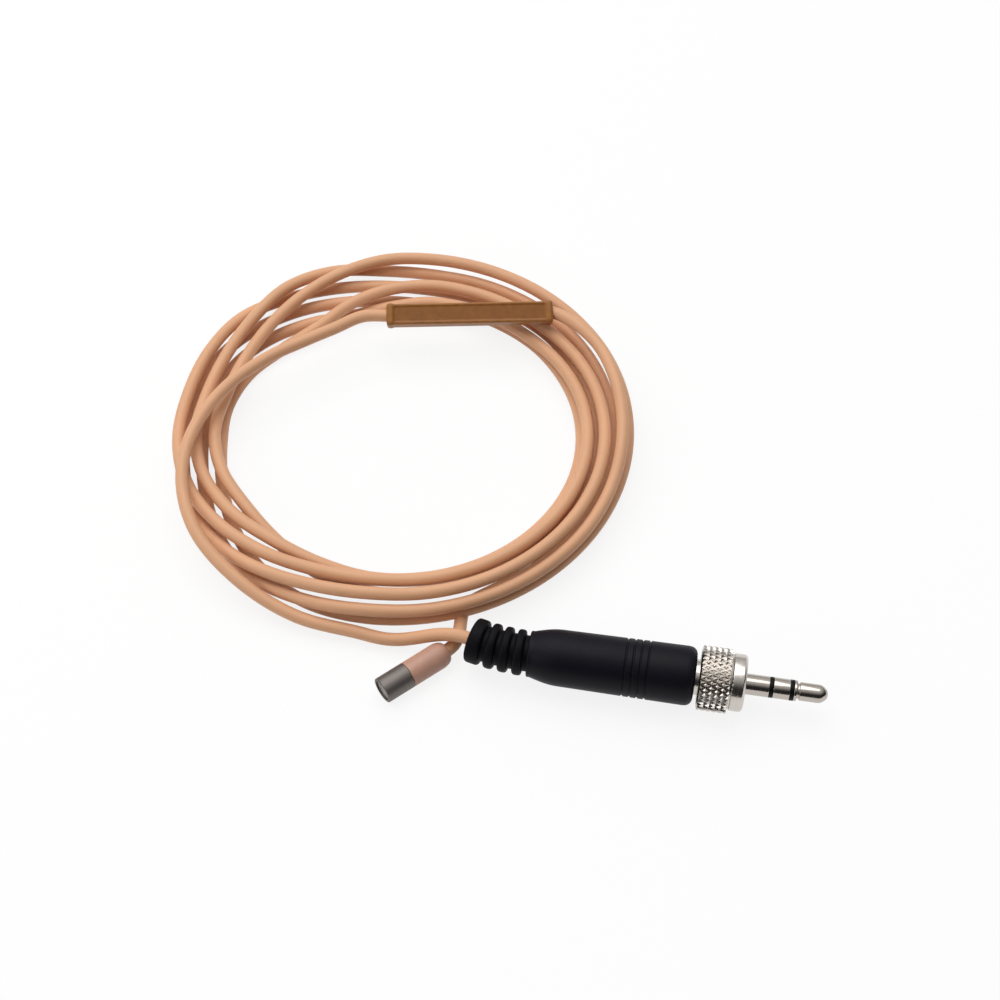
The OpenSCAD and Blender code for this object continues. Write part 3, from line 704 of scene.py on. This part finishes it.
def relief_piece():
    """A ribbed outline carried along the relief's bend, from the body back to the cable; the grid goes
    out along the ribs and returns through the bore."""
    pitch = RELIEF_LEN / (RIB_COUNT + REAR_RIB_EXTRA)
    corners = [(0, CABLE_R, 0), (0, RELIEF_CORE_R, 0)]
    for k in range(RIB_COUNT):
        start = pitch * (k + 1 - RIB_SHARE)
        stop = RELIEF_LEN if k == RIB_COUNT - 1 else pitch * (k + 1)
        corners += [(start, RELIEF_CORE_R, RIB_ROOT), (start, RELIEF_R, RIB_ROUND),
                    (stop, RELIEF_R, RIB_ROUND), (stop, RELIEF_CORE_R, RIB_ROOT)]
    corners[-1] = (RELIEF_LEN, CABLE_R, 0)
    bore = [(RELIEF_LEN * k / RELIEF_BORE_ROWS, CABLE_R, 0) for k in range(RELIEF_BORE_ROWS - 1, 0, -1)]
    outline = filleted(corners + bore)
    turn = outline[:, 0] / RELIEF_BEND
    zero = 0 * turn
    arc = np.stack([-BODY_LEN - RELIEF_BEND * np.sin(turn), RELIEF_BEND * (1 - np.cos(turn)), zero], axis=1)
    directions = np.stack([-np.cos(turn), np.sin(turn), zero], axis=1)
    grid = rings(PLUG_AT + arc, directions, outline[:, 1], RELIEF_SIDES)
    return skin("relief_moulding", grid, looped=True)


relief = relief_piece()
relief_finish = moulded("relief_black", RELIEF_COLOUR, roughness=0.55, grain_scale=3500.0, mottle=0.3,
                        mottle_scale=300.0, depth=0.000015, gloss=0.1)
dress(relief, relief_finish, "microphone", "plug_black", "plug_relief")

# Plug body: the hard black overmoulding that holds the cable, the screening shell and the neck together.
# It swells behind, widens slowly to a rounded front edge, and has four fine grip rings.
BODY_COLOUR = (0.0042, 0.0036, 0.0076)
BODY_R = 0.005
BODY_REAR_R = 0.0039
BODY_MID_SHARE = 0.8
BODY_MID_R = BODY_REAR_R + (BODY_R - BODY_REAR_R) * BODY_MID_SHARE
BODY_SWELL_LEN = 0.0055
BODY_SWELL_POINTS = 13
BODY_REAR_FLAT = 0.0006
BODY_REAR_EDGE = 0.0003
BODY_EDGE = 0.0016
BODY_SIDES = 128
GRIP_COUNT = 4
GRIP_FROM = -0.0119
GRIP_PITCH = 0.00125
GRIP_W = 0.00035
GRIP_DEPTH = 0.00018
GRIP_SLOPE = 0.00008
GRIP_EDGE = 0.00007
GRIP_ROOT = 0.00005
HUB_R = 0.0036
HUB_TO = -0.001
NECK_R = 0.003
SHELL_FROM = -0.014
FERRULE_R = CABLE_R + 0.00025
FERRULE_FROM = -0.017


def body_radius(u):
    """Radius of the body ahead of its swell: a straight line to the front edge."""
    return np.interp(u, [BODY_SWELL_LEN - BODY_LEN, -BODY_EDGE], [BODY_MID_R, BODY_R])


swell_corners = [(-BODY_LEN + BODY_REAR_FLAT + (BODY_SWELL_LEN - BODY_REAR_FLAT) * k,
                  BODY_REAR_R + (BODY_MID_R - BODY_REAR_R) * np.sin(np.pi / 2 * k), 0)
                 for k in np.linspace(0, 1, BODY_SWELL_POINTS)]
grip_corners = []
for k in range(GRIP_COUNT):
    low, high = GRIP_FROM + GRIP_PITCH * k, GRIP_FROM + GRIP_PITCH * k + GRIP_W
    grip_corners += [(low, body_radius(low), GRIP_EDGE),
                     (low + GRIP_SLOPE, body_radius(low) - GRIP_DEPTH, GRIP_ROOT),
                     (high - GRIP_SLOPE, body_radius(high) - GRIP_DEPTH, GRIP_ROOT),
                     (high, body_radius(high), GRIP_EDGE)]
body = turned("body_moulding", [
    (-BODY_LEN, CABLE_R, 0), (-BODY_LEN, BODY_REAR_R, BODY_REAR_EDGE), *swell_corners, *grip_corners,
    (0, BODY_R, BODY_EDGE), (0, NECK_R, 0), (HUB_TO, NECK_R, 0),
    (HUB_TO, HUB_R, 0), (SHELL_FROM, HUB_R, 0), (SHELL_FROM, FERRULE_R, 0), (FERRULE_FROM, FERRULE_R, 0),
    (FERRULE_FROM, CABLE_R, 0)], PLUG_AT, PLUG_DIR, BODY_SIDES)
body_finish = moulded("plug_black", BODY_COLOUR, roughness=0.48, grain_scale=3500.0, mottle=0.3,
                      mottle_scale=300.0, depth=0.000012, gloss=0.14)
dress(body, body_finish, "microphone", "plug_black", "plug_body")

# Neck: the nickel-plated journal that the nut runs on, turned in one piece with the hub that the body is
# moulded round and with the flange that keeps the nut from coming off.
NICKEL_COLOUR = (0.60, 0.56, 0.515)
SHANK_R = 0.0021
HUB_FROM = -0.003
NUT_FROM = 0.0006
NUT_WALL = 0.0016
NUT_PLAY = 0.0003
FLANGE_R = 0.0033
FLANGE_FROM = NUT_FROM + NUT_WALL + NUT_PLAY
FLANGE_TO = FLANGE_FROM + 0.001
NECK_EDGE = 0.0001
NECK_SIDES = 96
nickel_finish = metal("nickel", NICKEL_COLOUR, roughness=0.22, axis=PLUG_DIR, line_scale=5000.0,
                      tarnish=0.12, depth=0.0000015)
neck = turned("neck_turning", [
    (HUB_FROM, SHANK_R, 0), (HUB_FROM, HUB_R, NECK_EDGE), (HUB_TO, HUB_R, NECK_EDGE), (HUB_TO, NECK_R, 0),
    (FLANGE_FROM, NECK_R, 0), (FLANGE_FROM, FLANGE_R, NECK_EDGE), (FLANGE_TO, FLANGE_R, NECK_EDGE),
    (FLANGE_TO, SHANK_R, 0)], PLUG_AT, PLUG_DIR, NECK_SIDES)
dress(neck, nickel_finish, "microphone", "nickel", "neck")

# Lock nut: a captive nickel-plated nut, turned with a diamond knurl, a plain front rim and an inside
# thread for the socket's collar. It turns freely on the neck, between the body and the flange.
NUT_TO = 0.0083
NUT_EDGE = 0.0001
NUT_CHAMFER = 0.0004
NUT_RUN_FIT = 0.00003
NUT_SHARP = 30
KNURL_FROM = 0.00085
KNURL_LEN = 0.0048
KNURL_COUNT = 34
KNURL_ROWS = 2.5
KNURL_FINE = 16
KNURL_FLAT = 0.75
KNURL_DEPTH = 0.00045
KNURL_ROOT_R = NUT_R - KNURL_DEPTH
RIM_R = 0.0048
RIM_GAP_AT = 0.0001
RIM_GAP_DEPTH = 0.0003
RIM_REAR_AT = 0.0003
RIM_REAR_EDGE = 0.0002
RIM_TOP_AT = 0.0005
THREAD_R = 0.0036
THREAD_PITCH = 0.0005
THREAD_DEPTH = 0.00018
THREAD_LEAD = 0.0003
THREAD_ROWS = 48
NUT_SIDES = KNURL_COUNT * KNURL_FINE


def knurl_height(u):
    """Height of crossed V grooves as a share of their depth: the lower of two saw waves that wind round
    the nut either way, cut off flat near the top."""
    round_share = KNURL_COUNT * np.arange(NUT_SIDES)[None] / NUT_SIDES
    along = KNURL_ROWS * (u[:, None] - KNURL_FROM) / KNURL_LEN
    saws = [np.abs((round_share + sign * along) % 1 * 2 - 1) for sign in (-1, 1)]
    return np.minimum(np.minimum(*saws) / KNURL_FLAT, 1)


def nut_piece():
    """Rows go from the journal out over the rear face, along the knurl, over the rim and back through the
    thread, whose depth is a saw wave that winds once round the nut for each pitch."""
    wall = NUT_FROM + NUT_WALL
    journal_r = NECK_R + NUT_RUN_FIT
    knurl_u = np.linspace(KNURL_FROM, KNURL_FROM + KNURL_LEN, int(KNURL_ROWS * KNURL_FINE) + 1)
    knurl_to = knurl_u[-1]
    thread_u = np.linspace(NUT_TO - THREAD_LEAD, wall + THREAD_LEAD, THREAD_ROWS)
    rear = np.array([[NUT_FROM, journal_r], [NUT_FROM, KNURL_ROOT_R - NUT_CHAMFER]])
    front = filleted([
        (knurl_to + RIM_GAP_AT, KNURL_ROOT_R - RIM_GAP_DEPTH, 0),
        (knurl_to + RIM_REAR_AT, RIM_R - RIM_REAR_EDGE, 0),
        (knurl_to + RIM_TOP_AT, RIM_R, NUT_EDGE), (NUT_TO - NUT_CHAMFER, RIM_R, NUT_EDGE),
        (NUT_TO, RIM_R - NUT_CHAMFER, NUT_EDGE), (NUT_TO, THREAD_R + THREAD_LEAD, NUT_EDGE)])
    back = np.array([[wall, THREAD_R], [wall, journal_r]])
    wind = thread_u[:, None] / THREAD_PITCH - np.arange(NUT_SIDES)[None] / NUT_SIDES
    thread = THREAD_R + THREAD_DEPTH * np.abs(wind % 1 * 2 - 1)
    knurl = KNURL_ROOT_R + KNURL_DEPTH * knurl_height(knurl_u)
    plain = [np.repeat(part[:, 1:], NUT_SIDES, axis=1) for part in (rear, front, back)]
    radii = np.vstack([plain[0], knurl, plain[1], thread, plain[2]])
    u = np.concatenate([rear[:, 0], knurl_u, front[:, 0], thread_u, back[:, 0]])
    return skin("nut_turning", lathe(u, radii, PLUG_AT, PLUG_DIR, NUT_SIDES), looped=True, sharp=NUT_SHARP)


nut = nut_piece()
dress(nut, nickel_finish, "nut", "nickel", "lock_nut")

# Pin: three nickel-plated contacts parted by two black plastic collars. Each piece is turned or moulded
# with a tube or rod that runs back inside the piece before it, to the solder ends in the body.
PIN_R = 0.00175
PIN_LEN = 0.022
PIN_SIDES = 96
PIN_EDGE = 0.00008
SLEEVE_FROM = -0.004
SLEEVE_TO = 0.0123
SLEEVE_BORE_R = 0.0013
RING_FROM = 0.0130
RING_TO = 0.0157
RING_TUBE_R = 0.001
RING_TUBE_FROM = -0.007
FIRST_TUBE_FROM = -0.0055
SECOND_TUBE_FROM = -0.0085
ROD_FROM = -0.010
ROD_R = 0.00045
ROD_TUBE_R = 0.0007
TIP_FROM = 0.0164
TIP_SHOULDER_TO = TIP_FROM + 0.0005
TIP_SHOULDER_EDGE = 0.00018
TIP_GROOVE_TO = TIP_SHOULDER_TO + 0.0004
TIP_GROOVE_R = PIN_R - 0.00045
TIP_GROOVE_EDGE = 0.00012
TIP_R = PIN_R - 0.0002
TIP_CONE_LEN = 0.0011
TIP_CONE_EDGE = 0.0005
TIP_END_R = 0.0007
TIP_END_EDGE = 0.0006
# The contacts' nickel is a darker copy of the neck's and nut's nickel: painted shade for the darker
# reflection along the pin's lower side.
PIN_SHADED_COLOUR = (0.50, 0.455, 0.41)
COLLAR_COLOUR = (0.003, 0.003, 0.003)


def collared(name, rear, step, front, tube_r, bore_r):
    """A contact or collar with its tube running back inside the next piece."""
    return turned(name, [(rear, bore_r, 0), (rear, tube_r, 0), (step, tube_r, 0), (step, PIN_R, PIN_EDGE),
                         (front, PIN_R, PIN_EDGE), (front, bore_r, 0)], PLUG_AT, PLUG_DIR, PIN_SIDES)


# Painted shade: the contacts' finish is the nickel darkened.
pin_shaded_finish = metal("pin_nickel_painted_shade", PIN_SHADED_COLOUR, roughness=0.17, axis=PLUG_DIR, line_scale=5000.0,
                   tarnish=0.12, depth=0.000001)
collar_finish = moulded("collar_black", COLLAR_COLOUR, roughness=0.4, grain_scale=5000.0, mottle=0.2,
                        mottle_scale=600.0, depth=0.000004, gloss=0.12)
sleeve = turned("sleeve_turning", [
    (SLEEVE_FROM, SLEEVE_BORE_R, 0), (SLEEVE_FROM, SHANK_R, 0), (FLANGE_TO, SHANK_R, 0),
    (FLANGE_TO, PIN_R, 0), (SLEEVE_TO, PIN_R, PIN_EDGE),
    (SLEEVE_TO, SLEEVE_BORE_R, 0)], PLUG_AT, PLUG_DIR, PIN_SIDES)
dress(sleeve, pin_shaded_finish, "microphone", "nickel", "pin_sleeve")
first_collar = collared("first_collar", FIRST_TUBE_FROM, SLEEVE_TO, RING_FROM, SLEEVE_BORE_R, RING_TUBE_R)
dress(first_collar, collar_finish, "microphone", "insulator_black", "sleeve_insulator")
ring = collared("ring_turning", RING_TUBE_FROM, RING_FROM, RING_TO, RING_TUBE_R, ROD_TUBE_R)
dress(ring, pin_shaded_finish, "microphone", "nickel", "pin_ring")
second_collar = collared("second_collar", SECOND_TUBE_FROM, RING_TO, TIP_FROM, ROD_TUBE_R, ROD_R)
dress(second_collar, collar_finish, "microphone", "insulator_black", "ring_insulator")
tip = turned("tip_turning", [
    (ROD_FROM, 0, 0), (ROD_FROM, ROD_R, 0), (TIP_FROM, ROD_R, 0), (TIP_FROM, PIN_R, PIN_EDGE),
    (TIP_SHOULDER_TO, PIN_R, TIP_SHOULDER_EDGE), (TIP_SHOULDER_TO, TIP_GROOVE_R, TIP_GROOVE_EDGE),
    (TIP_GROOVE_TO, TIP_GROOVE_R, TIP_GROOVE_EDGE), (TIP_GROOVE_TO, TIP_R, PIN_EDGE),
    (PIN_LEN - TIP_CONE_LEN, TIP_R, TIP_CONE_EDGE), (PIN_LEN, TIP_END_R, TIP_END_EDGE),
    (PIN_LEN, 0, 0)], PLUG_AT, PLUG_DIR, PIN_SIDES, looped=False)
dress(tip, pin_shaded_finish, "microphone", "nickel", "pin_tip")

# Floor: a plain pale table that shows white to the camera and in the metal, and keeps a faint shadow.
# It is wide enough to meet the room behind it without a line.
FLOOR_HALF = 20.0
FLOOR_COLOUR = (0.96, 0.96, 0.96, 1)
FLOOR_GLOW_SHARE = 0.85
floor_corners = FLOOR_HALF * np.array([[-1.0, -1, 0], [1, -1, 0], [1, 1, 0], [-1, 1, 0]])
floor = add_piece("floor", floor_corners, np.arange(4)[None])


def seen_directly(tree):
    """1 for what the camera sees straight, in a mirror or through glass, and 0 for scattered light."""
    rays = tree.nodes.new("ShaderNodeLightPath").outputs
    straight = maths(tree, "MAXIMUM", rays["Is Camera Ray"], rays["Is Glossy Ray"])
    return maths(tree, "MAXIMUM", straight, rays["Is Transmission Ray"])


floor_finish, floor_tree, floor_shader = new_material("pale_table")
floor_shader.inputs["Base Color"].default_value = FLOOR_COLOUR
floor_shader.inputs["Roughness"].default_value = 1.0
floor_shader.inputs["Specular IOR Level"].default_value = 0.0
glow = floor_tree.nodes.new("ShaderNodeEmission")
glow_share = maths(floor_tree, "MULTIPLY", seen_directly(floor_tree), FLOOR_GLOW_SHARE)
floor_mix = floor_tree.nodes.new("ShaderNodeMixShader")
floor_tree.links.new(glow_share, floor_mix.inputs[0])
floor_tree.links.new(floor_shader.outputs[0], floor_mix.inputs[1])
floor_tree.links.new(glow.outputs[0], floor_mix.inputs[2])
floor_tree.links.new(floor_mix.outputs[0], floor_tree.nodes["Material Output"].inputs["Surface"])
floor.data.materials.append(floor_finish)

# Light: a room that is bright above and behind the table and dark towards the front, one broad soft lamp
# over the table, and a weaker one at the left of the front. The camera sees the room as pale as the
# far floor.
ROOM_DARK = 0.03
ROOM_BRIGHT = 0.75
ROOM_SEEN = 0.913
ROOM_SIDE = Vector((-0.1, 0.5, 0.86))
ROOM_DARK_AT = 0.1
ROOM_BRIGHT_AT = 0.95
room = bpy.data.worlds.new("room")
bpy.context.scene.world = room
room.use_nodes = True
room_tree = room.node_tree
room_light = room_tree.nodes["Background"]
room_light.inputs["Color"].default_value = (1, 1, 1, 1)
room_way = room_tree.nodes.new("ShaderNodeVectorMath")
room_way.operation = "DOT_PRODUCT"
room_way.inputs[1].default_value = ROOM_SIDE.normalized()
room_tree.links.new(room_tree.nodes.new("ShaderNodeTexCoord").outputs["Generated"], room_way.inputs[0])
room_range = room_tree.nodes.new("ShaderNodeMapRange")
room_range.interpolation_type = "SMOOTHSTEP"
room_range.inputs["From Min"].default_value = ROOM_DARK_AT
room_range.inputs["From Max"].default_value = ROOM_BRIGHT_AT
room_range.inputs["To Min"].default_value = ROOM_DARK
room_range.inputs["To Max"].default_value = ROOM_BRIGHT
room_tree.links.new(room_way.outputs["Value"], room_range.inputs["Value"])
camera_ray = room_tree.nodes.new("ShaderNodeLightPath").outputs["Is Camera Ray"]
room_seen = maths(room_tree, "MULTIPLY", camera_ray, ROOM_SEEN)
room_level = maths(room_tree, "MAXIMUM", room_seen, room_range.outputs["Result"])
room_tree.links.new(room_level, room_light.inputs["Strength"])


def lamp(name, at, aim, size, power):
    """A square soft lamp that faces the given point."""
    light = bpy.data.lights.new(name, "AREA")
    light.size = size
    light.energy = power
    hang(bpy.data.objects.new(name, light), at, aim)


lamp("overhead", at=(-0.12, 0.22, 0.55), aim=(0.0, 0.04, 0.0), size=0.6, power=2.3)
lamp("left_front", at=(-0.45, -0.32, 0.30), aim=(0.0, 0.03, 0.0), size=0.3, power=0.75)
